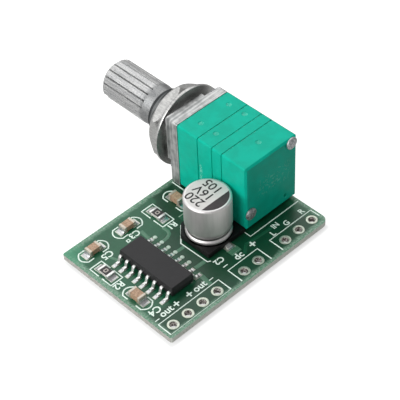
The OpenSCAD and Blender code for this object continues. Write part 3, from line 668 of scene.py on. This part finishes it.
SOFT_EDGES_MM = {
    "circuit_board": 0.05, "wire_eyelets": 0.025, "solder_lands": 0.02,
    "chip_body": 0.06, "chip_leads": 0.03, "can_base": 0.08, "can_terminals": 0.05,
    "front_plate": 0.06, "front_housing": 0.1, "middle_housing": 0.1, "rear_wafer": 0.1,
    "switch_housing": 0.16, "rivets": 0.12, "panel_nut": 0.06, "panel_washer": 0.06,
    "resistor_r1_body": 0.02, "resistor_r2_body": 0.02,
    "resistor_r1_ends": 0.03, "resistor_r2_ends": 0.03,
    "capacitor_c1_ends": 0.04, "capacitor_c3_ends": 0.04,
    "capacitor_c4_ends": 0.04, "capacitor_c5_ends": 0.04,
}
for node, piece in frame["nodes"].items():
    piece.data.materials.clear()
    piece.data.materials.append(finishes[slot_of[node]].material)
for node, width in SOFT_EDGES_MM.items():
    material = cap_material if node.startswith("capacitor") else finishes[slot_of[node]].material
    softened(node, width, material)


# The capacitor's can, in millimetres: a wall with a round rim, which draws in to a waist over the foot bead

CAN_WALL_R = 3.2
CAN_TOP_H = 6.9
CAN_RIM_R = 0.25
WAIST_R = 2.89
WAIST_LOW_H, WAIST_HIGH_H = 1.48, 2.6
BEAD_R = 0.435
BEAD_MIDDLE = (2.695, 0.995)
BEAD_HALF_TURN = 60


def arc(middle, radius, first_deg, last_deg, steps):
    """Points on an arc, each a distance from the axis and a height."""
    turns = [math.radians(first_deg + (last_deg - first_deg) * step / steps) for step in range(steps + 1)]
    return [(middle[0] + radius * math.cos(turn), middle[1] + radius * math.sin(turn)) for turn in turns]


def can_section():
    """Radius and height over the board of each ring of the can, from its foot to its top."""
    bend_steps, rim_steps = 7, 4
    bead = arc(BEAD_MIDDLE, BEAD_R, -BEAD_HALF_TURN, BEAD_HALF_TURN, bend_steps)
    waist = []
    for step in range(bend_steps + 1):
        share = step / bend_steps
        narrowing = (CAN_WALL_R - WAIST_R) * (1 + math.cos(math.pi * share)) / 2
        waist.append((CAN_WALL_R - narrowing, WAIST_LOW_H + (WAIST_HIGH_H - WAIST_LOW_H) * share))
    rim = arc((CAN_WALL_R - CAN_RIM_R, CAN_TOP_H - CAN_RIM_R), CAN_RIM_R, 0, 90, rim_steps)
    return bead + waist + rim


def turned_can():
    """The can drawn up ring by ring from its foot."""
    (radius, height), *rings = can_section()
    foot = Vector((can_axis.x, can_axis.y, board_high.z + height * MM))
    bpy.ops.object.select_all(action="DESELECT")
    bpy.ops.mesh.primitive_circle_add(
        vertices=ROUND_SIDES, radius=radius * MM, fill_type="NGON", location=foot)
    can = bpy.context.object
    can.name = "can_shell_drawn"
    bpy.ops.object.transform_apply(location=True, rotation=True, scale=True)
    bpy.ops.object.mode_set(mode="EDIT")
    bpy.ops.mesh.select_all(action="SELECT")
    for next_radius, next_height in rings:
        bpy.ops.mesh.extrude_region_move(
            TRANSFORM_OT_translate={"value": (0, 0, (next_height - height) * MM)})
        wider = next_radius / radius
        bpy.ops.transform.resize(value=(wider, wider, 1), center_override=foot)
        radius, height = next_radius, next_height
    bpy.ops.mesh.select_all(action="SELECT")
    bpy.ops.mesh.normals_make_consistent(inside=False)
    bpy.ops.object.mode_set(mode="OBJECT")
    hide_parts("can_shell")
    dress(can, "board", finishes["can_aluminium"].material)


turned_can()


# Flat lines and letters, for ink, print and covered traces


def flat_line(corners, z, width, thickness):
    """A line with round edges along points given in metres: a round wire pressed flat at the height z."""
    curve = bpy.data.curves.new("flat_line", "CURVE")
    curve.dimensions = "3D"
    curve.bevel_depth = width / 2
    curve.bevel_resolution = 1
    curve.use_fill_caps = True
    spline = curve.splines.new("POLY")
    spline.points.add(len(corners) - 1)
    for point, corner in zip(spline.points, corners):
        point.co = (corner[0], corner[1], 0, 1)
    line = bpy.data.objects.new("flat_line", curve)
    bpy.context.collection.objects.link(line)
    pick(line)
    bpy.ops.object.convert(target="MESH")
    line.data.transform(Matrix.Translation((0, 0, z)) @ Matrix.Diagonal((1, 1, 2 * thickness / width, 1)))
    return line


def board_line(corners, width=INK_LINE_W, thickness=INK_T):
    """A flat line on the board along corners given in millimetres."""
    return flat_line([on_board(x, y) for x, y in corners], board_high.z, width, thickness)


def lettering(words, place, height_mm, turn, thickness, bold_mm):
    """Plain letters of that capital height, lying flat with their middle at a place."""
    bpy.ops.object.select_all(action="DESELECT")
    bpy.ops.object.text_add(location=place, rotation=(0, 0, turn))
    text = bpy.context.object
    text.data.body = words
    text.data.size = height_mm * MM / CAP_HEIGHT_SHARE
    text.data.align_x = "CENTER"
    text.data.align_y = "CENTER"
    text.data.offset = bold_mm * MM
    text.data.extrude = thickness / 2
    text.data.resolution_u = 3
    bpy.ops.object.convert(target="MESH")
    bpy.ops.object.transform_apply(location=True, rotation=True, scale=True)
    return bpy.context.object


# White ink on the board


def brackets(low, high, bulge, gap):
    """Two facing brackets round a part. Their ends bow out by bulge, and gap is half the opening."""
    x0, y0 = low
    x1, y1 = high
    middle = (x0 + x1) / 2
    steps = 8
    shares = [2 * step / steps - 1 for step in range(steps + 1)]
    end = [(x0 + bulge * share ** 2, y0 + (y1 - y0) * (1 + share) / 2) for share in shares]
    left = [(middle - gap, y0), *end, (middle - gap, y1)]
    return [left, [(2 * middle - x, y) for x, y in left]]


def turned(lines):
    """The same lines with X and Y changed over."""
    return [[(y, x) for x, y in line] for line in lines]


def part_outlines():
    """Brackets round the small chips: bowed ones for the capacitors, square ones for the resistors."""
    bulge, capsule_gap, box_gap = 0.6, 0.75, 0.3
    lying = [((0.87, 16.98), (5.44, 18.95)), ((6.77, 16.96), (11.38, 18.94))]
    standing = [((5.61, 0.67), (10.15, 2.67)), ((14.56, 16.07), (19.16, 18.02))]
    square = [((14.68, 12.37), (18.81, 14.39)), ((11.84, 0.74), (15.91, 2.73))]
    lines = []
    for low, high in lying:
        lines += brackets(low, high, bulge, capsule_gap)
    for low, high in standing:
        lines += turned(brackets(low, high, bulge, capsule_gap))
    for low, high in square:
        lines += turned(brackets(low, high, 0.0, box_gap))
    return lines


def silkscreen():
    """Outlines, frames round the wire holes and plain labels, as one piece of ink."""
    frames = [
        [(14.29, 13.23), (11.96, 10.8), (12.08, 6.01), (12.48, 5.8)],
        [(19.12, 20.0), (19.12, 5.2), (28.2, 5.2)],
        [(0.5, 0.55), (0.5, 2.81), (10.87, 2.81), (10.87, 0.55)],
        [(12.82, 0.5), (12.82, 3.04), (18.16, 3.04), (18.16, 0.5)],
        [(20.32, 0.5), (20.32, 2.91), (28.05, 2.85), (28.12, 1.3)],
        [(7.36, 15.89), (7.76, 15.89), (7.76, 16.29), (7.36, 16.29), (7.36, 15.8)],
    ]
    marks = [board_line(line) for line in part_outlines() + frames]
    marks.append(board_line([(0.5, 0.55), (10.87, 0.55)], THIN_LINE_W))
    upright, half_turn = 0.0, math.pi
    labels = [
        ("C5", 3.93, 16.18, 1.05, half_turn), ("C3", 8.89, 16.42, 1.0, half_turn),
        ("R1", 13.4, 14.0, 0.95, half_turn), ("R2", 1.45, 11.18, 1.0, half_turn),
        ("C4", 1.73, 4.8, 1.05, half_turn), ("C2", 13.22, 5.1, 0.9, half_turn),
        ("out", 2.65, 3.68, 1.05, upright), ("out", 8.4, 3.68, 1.05, upright),
        ("dc", 15.6, 3.85, 1.05, upright), ("IN", 22.75, 4.22, 0.8, upright),
        ("L", 21.5, 3.42, 0.85, upright), ("G", 24.1, 3.48, 0.85, upright),
        ("R", 27.0, 3.55, 0.85, upright),
        ("–", 0.9, 3.5, 0.9, upright), ("+", 4.4, 3.6, 1.3, upright),
        ("+", 6.6, 3.6, 1.3, upright), ("–", 10.3, 3.6, 0.9, upright),
        ("–", 13.15, 3.9, 1.0, upright), ("+", 18.3, 3.95, 1.4, upright),
    ]
    for words, x, y, height, turn in labels:
        place = on_board(x, y, INK_T / MM / 2)
        marks.append(lettering(words, place, height, turn, INK_T, INK_BOLD_MM))
    dress(joined(marks, "silkscreen"), "board", silk_material)


# Copper under the mask: raised lines and plugged holes

TRACE_T = 0.03 * MM
LAND_LIP_T = 0.08 * MM
VIA_D = 0.62 * MM
VIA_H = 0.07 * MM
VIA_SIDES = 24
LEAD_PITCH = 1.28 * MM


def trace_lines(routes, thickness):
    """Flat lines along routes, each given as its corners and its width in millimetres."""
    return [board_line(corners, width * MM, thickness) for corners, width in routes]


def covered_traces():
    """Copper lines under the mask: pale ones, deep green ones, and lips of mask over the can's lands."""
    pale_routes = [
        ([(9.9, 16.22), (9.76, 14.92), (9.72, 14.3)], 0.5),
        ([(12.33, 14.61), (12.35, 13.66), (12.09, 13.14), (11.38, 12.83), (10.44, 12.78)], 0.5),
        ([(10.37, 10.14), (11.8, 10.1)], 0.5),
        ([(10.2, 6.36), (11.9, 6.3)], 0.6),
        ([(9.9, 5.5), (9.78, 4.3), (9.6, 2.95)], 0.7),
        ([(3.95, 15.6), (4.4, 14.2)], 0.4),
    ]
    deep_routes = [
        ([(17.6, 4.65), (19.0, 4.5), (23.2, 4.25)], 0.45),
        ([(16.4, 3.6), (17.7, 4.6)], 0.45),
    ]
    rear_lip = ([(15.0, 4.95), (16.65, 4.95)], 1.15)
    front_lip = ([(14.98, 13.95), (16.7, 13.95)], 1.5)
    pale = trace_lines(pale_routes, TRACE_T) + trace_lines([rear_lip], LAND_LIP_T)
    dress(joined(pale, "covered_traces"), "board", trace_material)
    deep = trace_lines(deep_routes, TRACE_T) + trace_lines([front_lip], LAND_LIP_T)
    dress(joined(deep, "deep_traces"), "board", deep_trace_material)


def domed_via():
    """A hole plugged with mask, which stands up as a small round dome."""
    bpy.ops.object.select_all(action="DESELECT")
    bpy.ops.mesh.primitive_cylinder_add(vertices=VIA_SIDES, radius=VIA_D / 2, depth=2 * VIA_H)
    via = bpy.context.object
    via.name = "domed_via"
    modify(via, "BEVEL", width=VIA_H * 0.95, segments=4, limit_method="ANGLE", angle_limit=SHARP_ANGLE)
    return via


def plugged_vias():
    """A row of plugged holes beside the chip, as far apart as its leads."""
    model = domed_via()
    row_x, first_y, count = 10.37, 14.04, 6
    places = [on_board(row_x, first_y - index * LEAD_PITCH / MM) for index in range(count)]
    vias = [placed_copy(model, Matrix.Translation(place)) for place in places]
    bpy.data.objects.remove(model)
    dress(joined(vias, "plugged_vias"), "board", via_material)


# Solder at the small chips' ends, the leads' toes and the can's tabs: length, width and height of each

LEADS_A_SIDE = 8
END_SOLDER_MM = (0.62, 1.12, 0.55)
TOE_SOLDER_MM = (0.5, 0.5, 0.16)
TAB_SOLDER_MM = (0.45, 0.8, 0.22)


def unit_fillet():
    """Solder that climbs an end face: a unit long, wide and high, with a hollow slope down towards +X."""
    scoop_r, scoop_sides, edge_w = 0.95, 40, 0.04
    bpy.ops.object.select_all(action="DESELECT")
    bpy.ops.mesh.primitive_cube_add(size=1, location=(0.5, 0, 0.5))
    fillet = bpy.context.object
    fillet.name = "unit_fillet"
    bpy.ops.object.transform_apply(location=True, rotation=True, scale=True)
    bpy.ops.object.select_all(action="DESELECT")
    bpy.ops.mesh.primitive_cylinder_add(
        vertices=scoop_sides, radius=scoop_r, depth=2, location=(1, 0, 1), rotation=(math.pi / 2, 0, 0))
    scoop = bpy.context.object
    modify(fillet, "BOOLEAN", operation="DIFFERENCE", solver="EXACT", object=scoop)
    bpy.data.objects.remove(scoop)
    modify(fillet, "BEVEL", width=edge_w, segments=2, limit_method="ANGLE", angle_limit=SHARP_ANGLE)
    return fillet


def aimed(place, direction, size_mm):
    """The matrix that sizes a unit fillet and puts it at a place, with its slope down in a direction."""
    turn = Matrix.Rotation(math.atan2(direction[1], direction[0]), 4, "Z")
    return Matrix.Translation(place) @ turn @ Matrix.Diagonal((*(value * MM for value in size_mm), 1))


def end_solder():
    """Fillets at both ends of each chip resistor and capacitor."""
    matrices = []
    for node in sorted(frame["nodes"]):
        if not node.endswith("_ends"):
            continue
        low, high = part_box(node)
        middle = (low + high) / 2
        along_x = high.x - low.x > high.y - low.y
        for side in (-1, 1):
            direction = (side, 0) if along_x else (0, side)
            reach = (high.x - low.x) / 2 if along_x else (high.y - low.y) / 2
            place = Vector((middle.x + direction[0] * reach, middle.y + direction[1] * reach, low.z))
            matrices.append(aimed(place, direction, END_SOLDER_MM))
    return matrices


def toe_solder():
    """Fillets at the toes of the chip's leads, on both sides."""
    low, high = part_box("chip_leads")
    row_middle = (low.y + high.y) / 2
    matrices = []
    for index in range(LEADS_A_SIDE):
        y = row_middle + (index - (LEADS_A_SIDE - 1) / 2) * LEAD_PITCH
        matrices.append(aimed(Vector((low.x, y, low.z)), (-1, 0), TOE_SOLDER_MM))
        matrices.append(aimed(Vector((high.x, y, low.z)), (1, 0), TOE_SOLDER_MM))
    return matrices


def tab_solder():
    """Fillets at the ends of the can's two tabs."""
    low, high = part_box("can_terminals")
    x = (low.x + high.x) / 2
    return [
        aimed(Vector((x, low.y, low.z)), (0, -1), TAB_SOLDER_MM),
        aimed(Vector((x, high.y, low.z)), (0, 1), TAB_SOLDER_MM),
    ]


def solder_fillets():
    """All the fillets, as one piece of solder."""
    model = unit_fillet()
    fillets = [placed_copy(model, matrix) for matrix in end_solder() + toe_solder() + tab_solder()]
    bpy.data.objects.remove(model)
    dress(joined(fillets, "solder_fillets"), "board", finishes["solder"].material)


# Print on the capacitor's top and on the resistors


def can_print():
    """Plain ratings in three lines that read along +Y, the first on the side of -X."""
    letter_mm, bold_mm = 1.4, 0.02
    line_step, forward, thickness = 1.62 * MM, 0.62 * MM, 0.02 * MM
    lines = []
    for index, words in enumerate(("220", "16V", "105")):
        place = Vector((can_axis.x + (index - 1) * line_step, can_axis.y + forward, can_high.z))
        lines.append(lettering(words, place, letter_mm, math.pi / 2, thickness, bold_mm))
    dress(joined(lines, "can_print"), "board", print_material)


def resistor_marks():
    """A plain frame with cut corners, printed on each resistor's coat."""
    half_x, half_y, cut = 0.26 * MM, 0.2 * MM, 0.07 * MM
    line_w, thickness = 0.13 * MM, 0.015 * MM
    corners = [(half_x, -half_y + cut), (half_x, half_y - cut), (half_x - cut, half_y)]
    corners += [(-half_x + cut, half_y), (-half_x, half_y - cut), (-half_x, -half_y + cut)]
    corners += [(-half_x + cut, -half_y), (half_x - cut, -half_y), corners[0]]
    marks = []
    for node in ("resistor_r1_coat", "resistor_r2_coat"):
        low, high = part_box(node)
        middle = (low + high) / 2
        outline = [(middle.x + x, middle.y + y) for x, y in corners]
        marks.append(flat_line(outline, high.z, line_w, thickness))
    dress(joined(marks, "resistor_marks"), "board", mark_material)


silkscreen()
covered_traces()
plugged_vias()
solder_fillets()
can_print()
resistor_marks()


# Camera, light and floor

FLOOR_SIZE = 3.0
FLOOR_GLOW = 0.88
REFLECTED_GLOW = 0.41
WALL_GLOW = 0.16
CEILING_GLOW = 0.3
BLACK, WHITE = (0, 0, 0, 1), (1, 1, 1, 1)


def studio_camera():
    """A camera that looks at the part as the photograph does."""
    aim = Matrix.Rotation(CAMERA_AZIMUTH, 4, "Z") @ Matrix.Rotation(math.pi / 2 - CAMERA_ELEVATION, 4, "X")
    aim = Matrix.Translation(CAMERA_TARGET) @ aim @ Matrix.Translation((0, 0, CAMERA_DISTANCE))
    bpy.ops.object.camera_add()
    camera = bpy.context.object
    camera.matrix_world = aim @ Matrix.Rotation(CAMERA_ROLL, 4, "Z")
    camera.data.lens = CAMERA_LENS
    camera.data.sensor_width = CAMERA_SENSOR
    camera.data.clip_start = CAMERA_NEAR
    bpy.context.scene.camera = camera


def softbox(name, place_mm, size_mm, watts):
    """A square lamp that faces the middle of the part."""
    bpy.ops.object.light_add(type="AREA", location=Vector(place_mm) * MM)
    lamp = bpy.context.object
    lamp.name = name
    lamp.data.size = size_mm * MM
    lamp.data.energy = watts
    lamp.rotation_euler = (-lamp.location).to_track_quat("-Z", "Y").to_euler()


def pale_floor():
    """A pale floor, which the camera and reflections see as white outside the board's outline. Under the
    board and just round its outline the white is left out, which paints a contact shadow there.
    """
    bpy.ops.object.select_all(action="DESELECT")
    bpy.ops.mesh.primitive_plane_add(size=FLOOR_SIZE)
    floor = bpy.context.object
    floor.name = "floor"
    finish = Finish("floor", srgb(162, 162, 161), 0.9, Specular_IOR_Level=0.1)
    grain = finish.noise(0.2, 2)
    middle = (board_low + board_high) / 2
    half = (board_high - board_low) / 2 / MM
    x, y, _ = finish.axes(middle)
    past_x = (abs(x) - half.x).larger(0)
    past_y = (abs(y) - half.y).larger(0)
    away = (past_x * past_x + past_y * past_y).root()
    seen = finish.node("ShaderNodeLightPath")
    reflected = seen["Is Glossy Ray"].larger(seen["Is Transmission Ray"]) * REFLECTED_GLOW
    watched = seen["Is Camera Ray"].larger(reflected)
    # Painted shadow: no white emission under the board nor within 0.4 mm round its outline.
    glow_outside_painted_shadow = watched * away.rise(-0.8, 0.4) * FLOOR_GLOW
    finish.feed({
        "Base Color": finish.tint(grain, srgb(160, 160, 159), srgb(164, 164, 163)),
        "Emission Color": finish.tint(glow_outside_painted_shadow, BLACK, WHITE),
        "Emission Strength": 1.0,
    })
    floor.data.materials.append(finish.material)


def studio_world():
    """Dim walls that brighten towards the ceiling. The camera sees them as white."""
    world = bpy.data.worlds.new("studio")
    bpy.context.scene.world = world
    world.use_nodes = True
    graph = Graph(world.node_tree)
    direction = graph.node("ShaderNodeTexCoord")["Generated"]
    up = graph.node("ShaderNodeSeparateXYZ", None, {"Vector": direction})["Z"]
    seen = graph.node("ShaderNodeLightPath")["Is Camera Ray"]
    wall = WALL_GLOW + up.rise(0.0, 0.9) * CEILING_GLOW
    strength = wall + seen * (1.0 - wall)
    background = world.node_tree.nodes["Background"]
    background.inputs["Color"].default_value = WHITE
    graph.join(strength, background.inputs["Strength"])


studio_camera()
pale_floor()
studio_world()
softbox("key", place_mm=(-310, 20, 180), size_mm=280, watts=0.95)
softbox("back", place_mm=(173, 190, 252), size_mm=300, watts=0.4)
softbox("front", place_mm=(-133, 190, 276), size_mm=340, watts=0.35)
bpy.context.scene.view_settings.view_transform = "Standard"
